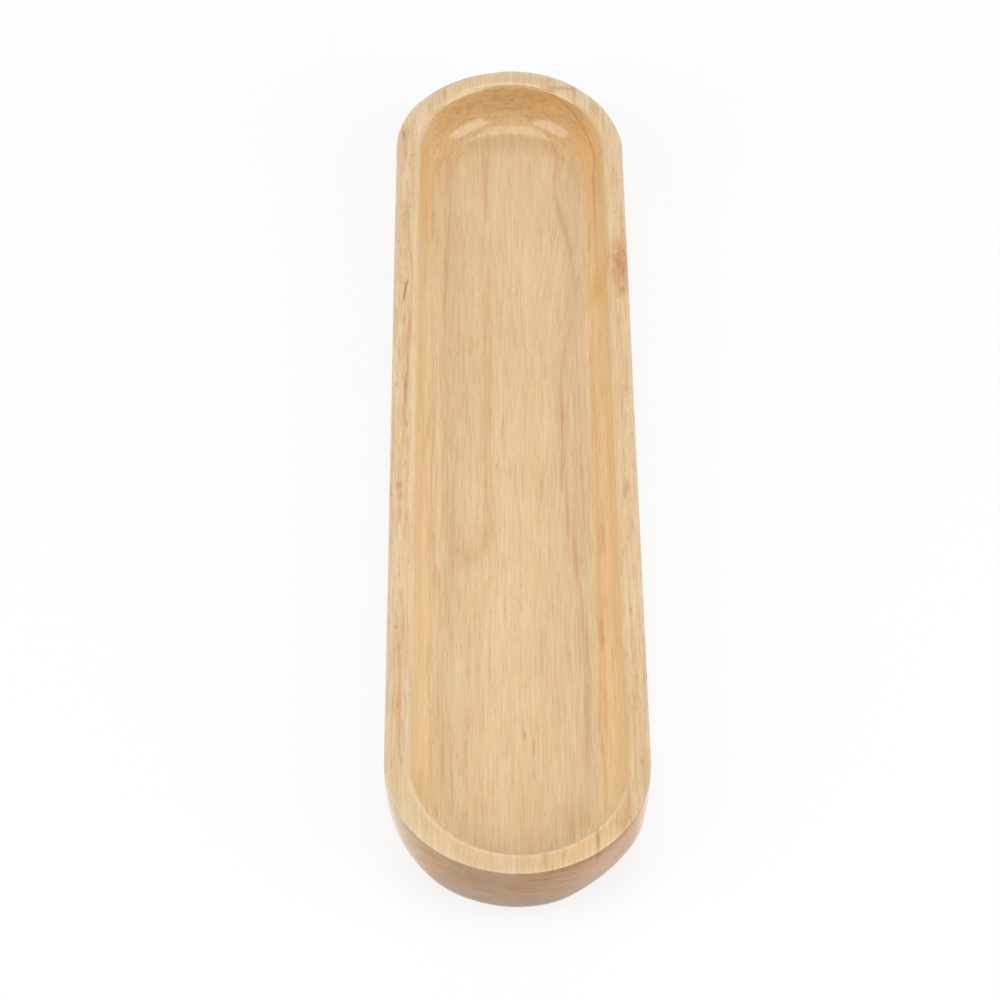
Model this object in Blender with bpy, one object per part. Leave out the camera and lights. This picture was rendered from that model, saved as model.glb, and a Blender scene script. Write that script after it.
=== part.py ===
"""A long shallow serving tray with round ends, carved from one board of pale hardwood.

Metres, +Z up. The origin is at the middle of the underside. The tray's length runs along Y.
"""

from math import cos, pi, radians, sin, tan

import bmesh
import bpy
from mathutils import Vector

# Overall sizes of the board that the tray is cut from
LENGTH = 0.390
WIDTH = 0.090
HEIGHT = 0.030

# Outside: an upright band below the rim, then a full round curve down to the flat base
UPRIGHT_BAND = 0.005
UNDERSIDE_INSET = 0.009
RIM_EASE = 0.0006

# Well: a flat rim, a rolled lip, a slightly sloping wall and a cove that runs into a flat floor
RIM_WIDTH = 0.0088
LIP_ROLL = 0.0022
FLOOR_THICKNESS = 0.011
COVE_RADIUS = 0.010
WALL_SLOPE = radians(8)

# How finely the curves are cut into flats
END_STEPS = 36
UNDERSIDE_STEPS = 14
EASE_STEPS = 3
LIP_STEPS = 6
COVE_STEPS = 12

# The lacquered wood
WOOD_COLOUR = (0.745, 0.515, 0.296, 1.0)
WOOD_ROUGHNESS = 0.35

END_RADIUS = WIDTH / 2
END_CENTRE = LENGTH / 2 - END_RADIUS
MERGE_DISTANCE = 1e-6
SHARP_ANGLE = radians(30)


def clear_scene():
    for obj in list(bpy.data.objects):
        bpy.data.objects.remove(obj, do_unlink=True)


def lacquered_wood():
    material = bpy.data.materials.new("lacquered_wood")
    material.use_nodes = True
    shader = material.node_tree.nodes["Principled BSDF"]
    shader.inputs["Base Color"].default_value = WOOD_COLOUR
    shader.inputs["Roughness"].default_value = WOOD_ROUGHNESS
    shader.inputs["Metallic"].default_value = 0.0
    return material


def outer_profile():
    """(inset from the side, height) from the edge of the base up to the outer edge of the rim."""
    curve_height = HEIGHT - UPRIGHT_BAND
    points = []
    for step in range(UNDERSIDE_STEPS + 1):
        angle = pi / 2 * step / UNDERSIDE_STEPS
        points.append((UNDERSIDE_INSET * (1 - sin(angle)), curve_height * (1 - cos(angle))))
    for step in range(EASE_STEPS + 1):
        angle = pi / 2 * step / EASE_STEPS
        points.append((RIM_EASE * (1 - cos(angle)), HEIGHT - RIM_EASE * (1 - sin(angle))))
    return points


def well_profile():
    """(inset from the side, height) from the start of the lip down to the edge of the floor.

    The lip and the cove turn through the same angle, one on each end of the straight wall.
    """
    turn = pi / 2 - WALL_SLOPE
    depth = HEIGHT - FLOOR_THICKNESS
    cove = min(COVE_RADIUS, depth / (1 - cos(turn)) - LIP_ROLL)
    wall_drop = depth - (LIP_ROLL + cove) * (1 - cos(turn))
    lip_start = RIM_WIDTH - LIP_ROLL
    floor_edge = lip_start + (LIP_ROLL + cove) * sin(turn) + wall_drop * tan(WALL_SLOPE)
    points = []
    for step in range(LIP_STEPS + 1):
        angle = turn * step / LIP_STEPS
        points.append((lip_start + LIP_ROLL * sin(angle), HEIGHT - LIP_ROLL * (1 - cos(angle))))
    for step in range(COVE_STEPS + 1):
        angle = turn * (1 - step / COVE_STEPS)
        points.append((floor_edge - cove * sin(angle), FLOOR_THICKNESS + cove * (1 - cos(angle))))
    return points


def spin_round_end(mesh, rail, end_y):
    """Sweeps the profile half a turn round the middle of one end, and returns its last copy."""
    spun = bmesh.ops.spin(
        mesh,
        geom=rail,
        cent=Vector((0, end_y, 0)),
        axis=Vector((0, 0, 1)),
        angle=pi,
        steps=END_STEPS,
        use_merge=False,
        use_duplicate=False,
    )
    return spun["geom_last"]


def run_along_side(mesh, rail, distance):
    """Draws the profile straight along one side, and returns its last copy."""
    edges = [item for item in rail if isinstance(item, bmesh.types.BMEdge)]
    drawn = bmesh.ops.extrude_edge_only(mesh, edges=edges)["geom"]
    moved = [item for item in drawn if isinstance(item, bmesh.types.BMVert)]
    bmesh.ops.translate(mesh, verts=moved, vec=Vector((0, distance, 0)))
    return [item for item in drawn if not isinstance(item, bmesh.types.BMFace)]


def make_tray():
    """The section through one wall, swept once round the outline, then closed by the base and the floor."""
    mesh = bmesh.new()
    section = outer_profile() + well_profile()
    verts = [mesh.verts.new((END_RADIUS - inset, END_CENTRE, height)) for inset, height in section]
    rail = [mesh.edges.new(pair) for pair in zip(verts, verts[1:])]

    straight = 2 * END_CENTRE
    rail = spin_round_end(mesh, verts + rail, END_CENTRE)
    rail = run_along_side(mesh, rail, -straight)
    rail = spin_round_end(mesh, rail, -END_CENTRE)
    run_along_side(mesh, rail, straight)
    bmesh.ops.remove_doubles(mesh, verts=mesh.verts, dist=MERGE_DISTANCE)

    open_edges = [edge for edge in mesh.edges if edge.is_boundary]
    bmesh.ops.holes_fill(mesh, edges=open_edges, sides=0)
    bmesh.ops.recalc_face_normals(mesh, faces=mesh.faces)

    data = bpy.data.meshes.new("tray")
    mesh.to_mesh(data)
    mesh.free()
    data.shade_smooth()
    data.set_sharp_from_angle(angle=SHARP_ANGLE)
    data.materials.append(lacquered_wood())
    tray = bpy.data.objects.new("tray", data)
    bpy.context.scene.collection.objects.link(tray)
    return tray


clear_scene()
make_tray()
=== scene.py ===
# %% [markdown]
# # A long wooden sushi tray
#
# The tray is one board of pale rubberwood, carved out in the middle and given a thin clear lacquer. It has
# no parts to put together, so the whole lesson is about two things: one clean carved form, and wood that
# looks right on every side of it. We load the imported model first, because its size and place decide
# everything else.

from math import atan2, cos, degrees, pi, radians, sin, tan

import bmesh
import bpy
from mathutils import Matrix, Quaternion, Vector


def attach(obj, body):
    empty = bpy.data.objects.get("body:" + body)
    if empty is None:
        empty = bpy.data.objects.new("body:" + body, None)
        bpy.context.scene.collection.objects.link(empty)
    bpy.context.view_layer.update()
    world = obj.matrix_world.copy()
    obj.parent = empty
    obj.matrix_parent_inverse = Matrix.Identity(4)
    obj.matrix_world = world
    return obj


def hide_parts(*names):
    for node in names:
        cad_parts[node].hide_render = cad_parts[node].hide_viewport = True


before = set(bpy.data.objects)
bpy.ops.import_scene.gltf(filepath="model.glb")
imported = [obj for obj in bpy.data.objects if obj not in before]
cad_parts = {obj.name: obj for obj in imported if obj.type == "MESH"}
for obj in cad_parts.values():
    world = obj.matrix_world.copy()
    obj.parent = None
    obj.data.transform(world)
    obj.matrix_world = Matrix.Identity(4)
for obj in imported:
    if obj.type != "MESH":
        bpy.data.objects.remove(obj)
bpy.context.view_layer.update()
print("packed nodes:", sorted(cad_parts))

# %% [markdown]
# ## The section through one wall
#
# A carved tray can be drawn as one line: up the outside from the base, over the rim, and down into the
# well. Swept round the outline, that line makes the whole outside and inside at once. It could also be a
# block with a pocket cut by a boolean, but then the rolled lip and the cove would need to be filleted
# afterwards, and the shading there would be rough. Every height below is from the base, and every inset is
# from the widest edge.

# %% Sizes of the board and the well
LENGTH = 0.390
WIDTH = 0.090
HEIGHT = 0.030
UPRIGHT_BAND = 0.005
UNDERSIDE_INSET = 0.009
RIM_EASE = 0.0006
RIM_WIDTH = 0.0088
LIP_ROLL = 0.0022
FLOOR_THICKNESS = 0.011
COVE_RADIUS = 0.010
WALL_SLOPE = radians(8)
END_RADIUS = WIDTH / 2
END_CENTRE = LENGTH / 2 - END_RADIUS
print("straight part:", round(2 * END_CENTRE, 4), "m")


# %% The outside, from the base up to the rim
def outer_profile(curve_steps=26, ease_steps=5):
    """A quarter ellipse from the base to the upright band, then a small easing of the top edge."""
    rise = HEIGHT - UPRIGHT_BAND
    points = []
    for step in range(curve_steps + 1):
        angle = pi / 2 * step / curve_steps
        points.append((UNDERSIDE_INSET * (1 - sin(angle)), rise * (1 - cos(angle))))
    for step in range(ease_steps + 1):
        angle = pi / 2 * step / ease_steps
        points.append((RIM_EASE * (1 - cos(angle)), HEIGHT - RIM_EASE * (1 - sin(angle))))
    return points


outside = outer_profile()
print("points up the outside:", len(outside))


# %% The inside, from the rim down to the floor
def well_profile(lip_steps=10, cove_steps=22):
    """A rolled lip, a wall that slopes a little, and a cove that runs level into the floor."""
    turn = pi / 2 - WALL_SLOPE
    depth = HEIGHT - FLOOR_THICKNESS
    cove = min(COVE_RADIUS, depth / (1 - cos(turn)) - LIP_ROLL)
    wall_drop = depth - (LIP_ROLL + cove) * (1 - cos(turn))
    lip_start = RIM_WIDTH - LIP_ROLL
    floor_edge = lip_start + (LIP_ROLL + cove) * sin(turn) + wall_drop * tan(WALL_SLOPE)
    points = []
    for step in range(lip_steps + 1):
        angle = turn * step / lip_steps
        points.append((lip_start + LIP_ROLL * sin(angle), HEIGHT - LIP_ROLL * (1 - cos(angle))))
    for step in range(cove_steps + 1):
        angle = turn * (1 - step / cove_steps)
        points.append((floor_edge - cove * sin(angle), FLOOR_THICKNESS + cove * (1 - cos(angle))))
    return points


inside = well_profile()
print("points down the inside:", len(inside), "- the floor starts", round(inside[-1][0], 5), "m in")


# %% [markdown]
# ## Flats that stay flat
#
# Smooth shading averages the normals at each corner. Where a curve meets a flat, that average tilts, and
# the tilt then spreads over the whole width of the flat. Marking the edge sharp would stop it, but would
# also show as a hard line. A narrow extra strip just inside each flat keeps the tilt to half a millimetre,
# so the rim, the floor and the base all shade as true flats.

# %% The whole section
GUARD_STRIP = 0.0005

base_guard = (UNDERSIDE_INSET + GUARD_STRIP, 0.0)
rim_guards = [(RIM_EASE + GUARD_STRIP, HEIGHT), (RIM_WIDTH - LIP_ROLL - GUARD_STRIP, HEIGHT)]
floor_guard = (inside[-1][0] + GUARD_STRIP, FLOOR_THICKNESS)
section = [base_guard] + outside + rim_guards + inside + [floor_guard]
print("points in the section:", len(section))


# %% [markdown]
# ## Sweeping the section round the outline
#
# The outline is a running track: two half circles joined by two straights. Spin turns the section half a
# turn round the middle of one end, an extrude carries it down the straight, and the same two steps bring it
# home. The two open loops that are left are the base and the well's floor, and each is filled with one flat
# face. A stretched cylinder with a bevel would be quicker, but its wall could have only one thickness and
# one slope.

# %% One end and one side
def spin_round_end(mesh, rail, end_y, steps=96):
    """Sweeps the section half a turn round the middle of one end, and returns its last copy."""
    spun = bmesh.ops.spin(
        mesh,
        geom=rail,
        cent=Vector((0, end_y, 0)),
        axis=Vector((0, 0, 1)),
        angle=pi,
        steps=steps,
        use_merge=False,
        use_duplicate=False,
    )
    print("swept half a turn round y =", round(end_y, 4))
    return spun["geom_last"]


def run_along_side(mesh, rail, distance, lengths=24):
    """Draws the section straight along one side in equal lengths, and returns its last copy."""
    for _ in range(lengths):
        edges = [item for item in rail if isinstance(item, bmesh.types.BMEdge)]
        drawn = bmesh.ops.extrude_edge_only(mesh, edges=edges)["geom"]
        moved = [item for item in drawn if isinstance(item, bmesh.types.BMVert)]
        bmesh.ops.translate(mesh, verts=moved, vec=Vector((0, distance / lengths, 0)))
        rail = [item for item in drawn if not isinstance(item, bmesh.types.BMFace)]
    print("drawn", round(distance, 4), "m along the side")
    return rail


# %% The carved board
WELD = 1e-6


def carve_tray():
    """One closed shell: the swept section, the base and the floor of the well."""
    mesh = bmesh.new()
    verts = [mesh.verts.new((END_RADIUS - inset, END_CENTRE, height)) for inset, height in section]
    rail = [mesh.edges.new(pair) for pair in zip(verts, verts[1:])]
    straight = 2 * END_CENTRE
    rail = spin_round_end(mesh, verts + rail, END_CENTRE)
    rail = run_along_side(mesh, rail, -straight)
    rail = spin_round_end(mesh, rail, -END_CENTRE)
    run_along_side(mesh, rail, straight)
    bmesh.ops.remove_doubles(mesh, verts=mesh.verts, dist=WELD)
    open_edges = [edge for edge in mesh.edges if edge.is_boundary]
    bmesh.ops.holes_fill(mesh, edges=open_edges, sides=0)
    bmesh.ops.recalc_face_normals(mesh, faces=mesh.faces)
    return mesh


carved = carve_tray()
print("faces:", len(carved.faces), "open edges left:", sum(edge.is_boundary for edge in carved.edges))

# %% [markdown]
# ## Shoulders eased by hand
#
# The outside was brought to shape on a sander, and the sander took a little more off both shoulders of the
# far end. Low on the near end it took more from one place and left two others full. It is a millimetre at
# the most, but it is what makes an outline look worked and not drawn. A sculpting brush could do it by
# hand, though not twice the same. Here points on the outside move towards the middle of their end or away
# from it, between two bearings, with a soft start and stop.

# %% Where a point sits
def inset_of(point):
    """How far a point is in from the widest edge of the board."""
    past_end = max(abs(point.y) - END_CENTRE, 0.0)
    return END_RADIUS - Vector((point.x, past_end)).length


def soft_step(value, start, end):
    """0 before start, 1 after end, and an even ease between them."""
    share = min(max((value - start) / (end - start), 0.0), 1.0)
    return share * share * (3 - 2 * share)


print("inset of the middle of the board:", round(inset_of(Vector((0.0, 0.0, 0.0))), 4), "m")


# %% Sanding
ROUNDING = 1e-5


def sand_shoulder(mesh, name, end, first, last, depth, soft_edge, low_only=False, middle_only=False):
    """Takes depth off the outside of one end between two bearings in degrees (0 is the tip, + is right).

    A depth below zero leaves the wood that much fuller."""
    centre = Vector((0.0, end * END_CENTRE))
    taken = 0
    for vert in mesh.verts:
        arm = vert.co.xy - centre
        on_outside = vert.co.z < FLOOR_THICKNESS - ROUNDING or inset_of(vert.co) < RIM_WIDTH / 2
        if arm.y * end < 0 or not on_outside:
            continue
        bearing = degrees(atan2(arm.x, arm.y * end))
        share = soft_step(bearing, first - soft_edge, first + soft_edge)
        share *= soft_step(-bearing, -last - soft_edge, -last + soft_edge)
        if low_only or middle_only:
            share *= soft_step(-vert.co.z, -HEIGHT + RIM_EASE, -HEIGHT / 2)
        if middle_only:
            share *= soft_step(vert.co.z, HEIGHT / 6, HEIGHT / 2)
        vert.co.xy = centre + arm * (1 - depth * share / arm.length)
        taken += share > 0.5
    print(name, "shoulder:", taken, "points moved")


FAR, NEAR = 1, -1

sand_shoulder(carved, "far left", FAR, -54.0, -4.0, 0.0006, soft_edge=5.0)
sand_shoulder(carved, "far right", FAR, 34.0, 80.0, 0.0007, soft_edge=10.0)
sand_shoulder(carved, "near right", NEAR, 26.0, 52.0, 0.0008, soft_edge=12.0, low_only=True)
sand_shoulder(carved, "full near right", NEAR, 56.0, 76.0, -0.0008, soft_edge=12.0, middle_only=True)
sand_shoulder(carved, "full near left", NEAR, -46.0, -26.0, -0.0004, soft_edge=12.0, low_only=True)

# %% [markdown]
# ## A pocket that is cut a little off centre
#
# The well was cut by hand against a guide, and it sits less than a millimetre nearer the right side. The
# rim on the left is the wider one. The section could be made uneven from the start, but then each side
# would need its own. Moving every point from the lip inwards keeps the lip's own shape.

# %% The well's place in the board
WELL_SHIFT = Vector((0.0007, 0.0, 0.0))

well_start = RIM_WIDTH - LIP_ROLL - GUARD_STRIP - ROUNDING
above_floor = [vert for vert in carved.verts if vert.co.z > FLOOR_THICKNESS - ROUNDING]
well_verts = [vert for vert in above_floor if inset_of(vert.co) > well_start]
bmesh.ops.translate(carved, verts=well_verts, vec=WELL_SHIFT)
print("points moved with the well:", len(well_verts))

# %% [markdown]
# ## From working mesh to object
#
# The board is all curves that run into each other, so it is shaded smooth. An edge sharper than 40 degrees
# would stay crisp, and the print shows that this form has none. A subdivision modifier could smooth it too,
# but the section already has the points it needs. The object stays at the origin, unturned and unscaled,
# with its place in its mesh.

# %% The finished mesh
SHARP_ANGLE = radians(40)

tray_mesh = bpy.data.meshes.new("carved_tray")
carved.to_mesh(tray_mesh)
carved.free()
tray_mesh.shade_smooth()
tray_mesh.set_sharp_from_angle(angle=SHARP_ANGLE)
print("sharp edges:", sum(edge.use_edge_sharp for edge in tray_mesh.edges))
tray = bpy.data.objects.new("carved_tray", tray_mesh)
bpy.context.scene.collection.objects.link(tray)
print("triangles:", sum(len(face.vertices) - 2 for face in tray_mesh.polygons))

# %% [markdown]
# ## Wood as a solid, not a skin
#
# The colour of real wood runs right through it. A ring that shows as a wide loop on the floor turns into
# narrow lines where the wall cuts across it, and a long dark pore on the rim is only a dot on the end. If
# every pattern is worked out from the point's own place in the board, all of that comes out right by
# itself. So the material reads Object coordinates, turned into millimetres to keep the sizes easy to think
# about.

# %% The material
wood = bpy.data.materials.new("lacquered_wood")
wood.use_nodes = True
board = wood.node_tree
shader = board.nodes["Principled BSDF"]
print("material:", wood.name)


# %% Sums with nodes
def feed(socket, value):
    """Links a socket to another node's output, or sets the plain value on it."""
    if isinstance(value, bpy.types.NodeSocket):
        socket.id_data.links.new(value, socket)
    else:
        socket.default_value = value


def calc(operation, *values):
    """A Math node, in the node tree that its values come from."""
    tree = next(value.id_data for value in values if isinstance(value, bpy.types.NodeSocket))
    node = tree.nodes.new("ShaderNodeMath")
    node.operation = operation
    for socket, value in zip(node.inputs, values):
        feed(socket, value)
    return node.outputs["Value"]


def times(first, *others):
    """Multiplies two or more values. For masks that means: only where all of them are."""
    for other in others:
        first = calc("MULTIPLY", first, other)
    return first


def plus(first, *others):
    """Adds two or more values."""
    for other in others:
        first = calc("ADD", first, other)
    return first


def minus(first, second):
    """The first value less the second."""
    return calc("SUBTRACT", first, second)


def inverse(mask):
    """Everywhere that the mask is not."""
    return minus(1.0, mask)


def vector_calc(operation, first, second, output="Vector"):
    """A Vector Math node with two inputs."""
    node = first.id_data.nodes.new("ShaderNodeVectorMath")
    node.operation = operation
    feed(node.inputs[0], first)
    feed(node.inputs["Scale" if operation == "SCALE" else 1], second)
    return node.outputs[output]


print("sums: times, plus, minus and inverse")

# %% Board coordinates in millimetres
coordinates = board.nodes.new("ShaderNodeTexCoord")
place = vector_calc("SCALE", coordinates.outputs["Object"], 1000.0)
place_parts = board.nodes.new("ShaderNodeSeparateXYZ")
feed(place_parts.inputs["Vector"], place)
across, along, up = (place_parts.outputs[name] for name in "XYZ")
print("the wood reads Object coordinates in millimetres")

# %% [markdown]
# ## Small tools for the figure
#
# Three things come up again and again in this board: a step that eases from one value to another, noise
# that is stretched along the grain, and a soft-edged patch. Each could be built by hand every time, but as
# a helper it has one name and plain numbers. The patch is used many times over, so it is a node group.

# %% Easing
def ease(value, start, end, low=0.0, high=1.0):
    """Goes smoothly from low to high while value goes from start to end."""
    node = value.id_data.nodes.new("ShaderNodeMapRange")
    node.interpolation_type = "SMOOTHSTEP"
    settings = {"Value": value, "From Min": start, "From Max": end, "To Min": low, "To Max": high}
    for name, setting in settings.items():
        feed(node.inputs[name], setting)
    return node.outputs["Result"]


print("easing is a smooth step")


# %% Stretched noise
def stretched(position, size):
    """The position in steps of this size in millimetres (across, along, up)."""
    mapping = position.id_data.nodes.new("ShaderNodeMapping")
    feed(mapping.inputs["Vector"], position)
    mapping.inputs["Scale"].default_value = [1 / value for value in size]
    return mapping.outputs["Vector"]


def grain_noise(position, size, detail=2.0, roughness=0.5, output="Fac"):
    """Noise with blobs of about this size in millimetres (across, along, up)."""
    noise = position.id_data.nodes.new("ShaderNodeTexNoise")
    feed(noise.inputs["Vector"], stretched(position, size))
    noise.inputs["Scale"].default_value = 1.0
    noise.inputs["Detail"].default_value = detail
    noise.inputs["Roughness"].default_value = roughness
    return noise.outputs[output]


print("noise takes its size in millimetres")

# %% The soft patch
def make_soft_patch():
    """A group that gives 1 at a centre and fades to 0 in a bell shape of the given size."""
    group = bpy.data.node_groups.new("soft_patch", "ShaderNodeTree")
    for name in ("Position", "Centre", "Size"):
        group.interface.new_socket(name, in_out="INPUT", socket_type="NodeSocketVector")
    group.interface.new_socket("Mask", in_out="OUTPUT", socket_type="NodeSocketFloat")
    entry = group.nodes.new("NodeGroupInput")
    leave = group.nodes.new("NodeGroupOutput")
    offset = vector_calc("SUBTRACT", entry.outputs["Position"], entry.outputs["Centre"])
    scaled = vector_calc("DIVIDE", offset, entry.outputs["Size"])
    squared = vector_calc("DOT_PRODUCT", scaled, scaled, output="Value")
    feed(leave.inputs["Mask"], calc("EXPONENT", times(squared, -1.0)))
    return group


soft_patch = make_soft_patch()
print("node group:", soft_patch.name)

# %% [markdown]
# ## How the fibres run
#
# Fibres are never quite straight. They wander a little along the whole board, and they part round the small
# knot in the right rim as water parts round a post. Each pattern could be bent by itself, and they would
# soon disagree. So both are done before any colour: the point is moved, and every pattern that is read from
# the moved point bends with it.

# %% The knot and the fibres round it
KNOT_CENTRE = Vector((42.4, 86.0, 30.0))
KNOT_LEAN = 0.5
KNOT_STRETCH = 3.0
PARTING_RADIUS = 1.7
PARTING_SOFTNESS = 0.5
MOST_PARTING = 0.9

below_rim = minus(KNOT_CENTRE.z, up)
knot_x = minus(KNOT_CENTRE.x, times(below_rim, KNOT_LEAN))
knot_across = minus(across, knot_x)
knot_along = calc("DIVIDE", minus(along, KNOT_CENTRE.y), KNOT_STRETCH)
knot_square = plus(times(knot_across, knot_across), times(knot_along, knot_along))
knot_radius = calc("SQRT", knot_square)
pull = calc("DIVIDE", PARTING_RADIUS**2, plus(knot_square, PARTING_SOFTNESS))
parting = calc("MINIMUM", pull, MOST_PARTING)
parted_across = minus(across, times(knot_across, parting))
print("knot at", tuple(KNOT_CENTRE), "mm")

# %% The slow wander
WANDER = 1.2

wander = grain_noise(place, (30.0, 150.0, 30.0), detail=1.0, output="Color")
wander_parts = board.nodes.new("ShaderNodeSeparateColor")
feed(wander_parts.inputs["Color"], wander)
sideways = times(minus(wander_parts.outputs["Red"], 0.5), 2 * WANDER)
fibre_x = plus(parted_across, sideways)
fibre_place = board.nodes.new("ShaderNodeCombineXYZ")
feed(fibre_place.inputs["X"], fibre_x)
feed(fibre_place.inputs["Y"], along)
feed(fibre_place.inputs["Z"], up)
fibre = fibre_place.outputs["Vector"]
print("fibres wander up to", WANDER, "mm to each side")

# %% [markdown]
# ## A leaning patch
#
# On the right of the floor, from the middle to the far end, the fibres lean by seven degrees to the right.
# To bend them there would leave a kink at the edge of the patch. So each kind of fibre is drawn twice, once
# straight and once leaning, and a soft mask fades from one to the other, which is also how it looks in a
# real board.

# %% Straight and leaning fibres
LEAN = radians(7)

turn_over = board.nodes.new("ShaderNodeMapping")
feed(turn_over.inputs["Vector"], fibre)
turn_over.inputs["Rotation"].default_value = (0.0, 0.0, LEAN)
leaning = turn_over.outputs["Vector"]
lean_sides = times(ease(across, 6.0, 16.0), ease(across, 24.0, 30.0, 1.0, 0.0))
lean_reach = times(ease(along, 48.0, 72.0), ease(along, 172.0, 184.0, 1.0, 0.0))
lean_zone = times(lean_sides, lean_reach)
print("leaning by", round(degrees(LEAN), 1), "degrees")


def fibre_noise(size, detail, roughness):
    """Noise along the fibres, straight over most of the board and leaning inside the patch."""
    node = board.nodes.new("ShaderNodeMix")
    feed(node.inputs[0], lean_zone)
    feed(node.inputs[2], grain_noise(fibre, size, detail, roughness))
    feed(node.inputs[3], grain_noise(leaning, size, detail, roughness))
    return node.outputs[0]


# %% [markdown]
# ## Zones of the board
#
# Some finishes belong to one part of the tray: the rim, the lip, the outside. Each part has its own range
# of height and of distance in from the edge, so a mask can be worked out from those two. Painted weights
# would do as well, but only on this one mesh. The well sits a little off centre, so the distance is
# measured twice, once for the outside and once for the well.

# %% Distance in from the edge
past_end_centre = minus(calc("ABSOLUTE", along), 1000 * END_CENTRE)
past_straight = calc("MAXIMUM", past_end_centre, 0.0)


def distance_in(middle_x):
    """How far in from the edge of a track-shaped outline a point is, in millimetres."""
    sideways_part = calc("POWER", minus(across, middle_x), 2.0)
    endways_part = calc("POWER", past_straight, 2.0)
    return minus(1000 * END_RADIUS, calc("SQRT", plus(sideways_part, endways_part)))


edge_inset = distance_in(0.0)
well_inset = distance_in(1000 * WELL_SHIFT.x)
print("distances are from the outside and from the well")

# %% The masks
slanted_inset = plus(edge_inset, times(up, 0.3))
outer_face = ease(slanted_inset, 10.5, 13.5, 1.0, 0.0)
rim_height = ease(up, 22.0, 27.0)
rim_zone = times(rim_height, ease(well_inset, 8.0, 9.6, 1.0, 0.0))
lip_height = ease(up, 26.9, 28.5)
lip_rise = ease(well_inset, 6.2, 7.2)
lip_zone = times(lip_height, lip_rise)
wall_rise = times(ease(well_inset, 8.2, 9.6), ease(up, 26.5, 28.5, 1.0, 0.0))
wall_zone = times(wall_rise, ease(well_inset, 14.0, 20.0, 1.0, 0.0))
right_side = ease(across, -8.0, 8.0)
left_side = inverse(right_side)
print("zones: outside, rim, lip and wall")

# %% Faces that cut across the fibres
facing = board.nodes.new("ShaderNodeSeparateXYZ")
feed(facing.inputs["Vector"], coordinates.outputs["Normal"])
end_facing = calc("ABSOLUTE", facing.outputs["Y"])
outer_end = times(ease(end_facing, 0.14, 0.80), outer_face)
inner_end = times(ease(end_facing, 0.25, 0.92), inverse(outer_face))
near_lip = times(lip_zone, ease(along, -140.0, -165.0, 0.0, 0.85))
inner_end = times(inner_end, inverse(near_lip))
endwise = calc("MAXIMUM", outer_end, inner_end)
print("zones: outer ends and inner ends")

# %% [markdown]
# ## Growth rings
#
# The board was sawn flat, so the rings lie in it like shallow sheets that bow upwards. Where the floor of
# the well just grazes the top of a sheet, the ring shows as a long narrow loop, and this board has one with
# its round tip towards the near end. Blender's Wave texture draws rings too, but all of one shape. Here the
# height of the sheets is one smooth function: height in the board, plus the bow across it, minus a lift
# that changes along it. The loop is the line where that function is zero.

# %% The ring function
LOOP_CENTRE_X = -17.0
RING_RADIUS = 100.0
FLOOR_HEIGHT = 1000 * FLOOR_THICKNESS

from_loop = minus(across, LOOP_CENTRE_X)
bow = calc("DIVIDE", times(from_loop, from_loop), 2 * RING_RADIUS)
loop_lift = ease(along, -72.0, -33.0, -1.0, 0.32)
far_settle = ease(along, 60.0, 140.0, 0.0, 0.08)
near_drop = ease(along, -260.0, -60.0, -1.2, 0.0)
ring_noise = minus(grain_noise(fibre, (15.0, 80.0, 15.0), detail=2.0), 0.5)
wobble_size = ease(calc("ABSOLUTE", from_loop), 9.0, 30.0, 0.16, 2.6)
wobble = times(ring_noise, wobble_size)
sheet_height = plus(minus(up, FLOOR_HEIGHT), bow)
lifted = minus(sheet_height, minus(loop_lift, far_settle))
ring = plus(minus(lifted, near_drop), wobble)
print("rings bow upwards with a radius of", RING_RADIUS, "mm")

# %% Bands of growth
BAND_CHANGE_ACROSS = 0.05
BAND_CHANGE_ALONG = 0.008

ring_place = board.nodes.new("ShaderNodeCombineXYZ")
feed(ring_place.inputs["X"], times(fibre_x, BAND_CHANGE_ACROSS))
feed(ring_place.inputs["Y"], times(along, BAND_CHANGE_ALONG))
feed(ring_place.inputs["Z"], ring)
layers = ring_place.outputs["Vector"]
bands = grain_noise(layers, (1.0, 1.0, 2.4), detail=2.0)
fine_layers = grain_noise(layers, (0.35, 0.35, 0.55), detail=2.0, roughness=0.6)
print("bands of growth, broad and fine")

# %% [markdown]
# ## Laying on the colour
#
# The wood starts as one pale straw colour. Each feature then darkens or reddens it by multiplying, the way
# a stain does, so features that overlap still look like one piece of wood. One long colour ramp could do it
# too, but there each feature would paint over the last. On this wood a darker mark loses much more blue
# than red, which is why most tints are warm. Each step below notes its stains in a list, and all of them
# are laid on at the end.

# %% Stains
PALE_STRAW = (0.789, 0.606, 0.359)
BROWN_GROWTH = (0.95, 0.86, 0.79)
PINK_BROWN = (0.93, 0.80, 0.74)
RED_BROWN = (0.80, 0.58, 0.47)
DARK_PORE = (0.62, 0.50, 0.42)
ORANGE_FLUSH = (0.98, 0.88, 0.72)
GREY_BROWN = (0.86, 0.82, 0.78)


def mix_colours(first, mask, second, blend):
    """A colour Mix node: first where the mask is 0, and first blended with second where it is 1."""
    node = board.nodes.new("ShaderNodeMix")
    node.data_type = "RGBA"
    node.blend_type = blend
    feed(node.inputs[0], mask)
    for socket, value in ((node.inputs[6], first), (node.inputs[7], second)):
        feed(socket, value if isinstance(value, bpy.types.NodeSocket) else (*value, 1.0))
    return node.outputs[2]


stains = []


def stain(mask, tint):
    """Notes one stain: the wood is multiplied by the tint where the mask is 1."""
    stains.append((mask, tint))


stain(ease(bands, 0.36, 0.70, 0.0, 0.42), BROWN_GROWTH)
stain(ease(fine_layers, 0.45, 0.8, 0.0, 0.5), BROWN_GROWTH)
print("stains noted so far:", len(stains))

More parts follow.
